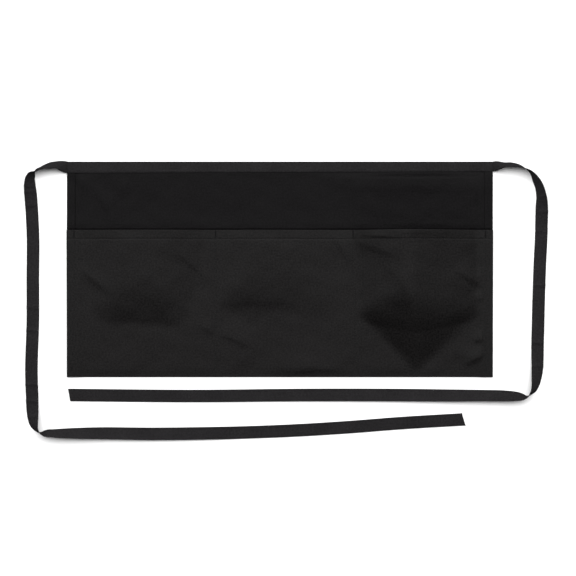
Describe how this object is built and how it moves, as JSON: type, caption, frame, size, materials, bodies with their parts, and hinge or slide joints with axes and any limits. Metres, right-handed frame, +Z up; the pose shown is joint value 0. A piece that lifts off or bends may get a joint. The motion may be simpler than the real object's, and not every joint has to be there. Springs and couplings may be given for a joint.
{
  "type": "waist apron with three pockets and two long ties",
  "caption": "Short black waist apron of twill cloth, folded up into open-topped pockets, with a taped waistband that runs on into long flat ties, laid out flat.",
  "frame": {"origin": "on the surface that the apron lies on, under the middle of the apron without its ties", "axes": "+X along the waistband, towards the wearer's left when worn; +Y from the folded bottom edge to the waistband; +Z up, out of the pocketed front"},
  "size_m": [0.7498, 0.4, 0.0316],
  "materials": {
    "apron_cloth": "black polyester and cotton twill, soft dull sheen",
    "tape": "black folded woven tape, a little lighter than the cloth"
  },
  "bodies": {
    "root": {"back_panel": "apron_cloth", "pocket_panel": "apron_cloth", "waistband": "tape", "tie_left": "tape", "tie_right": "tape"}
  },
  "joints": []
}
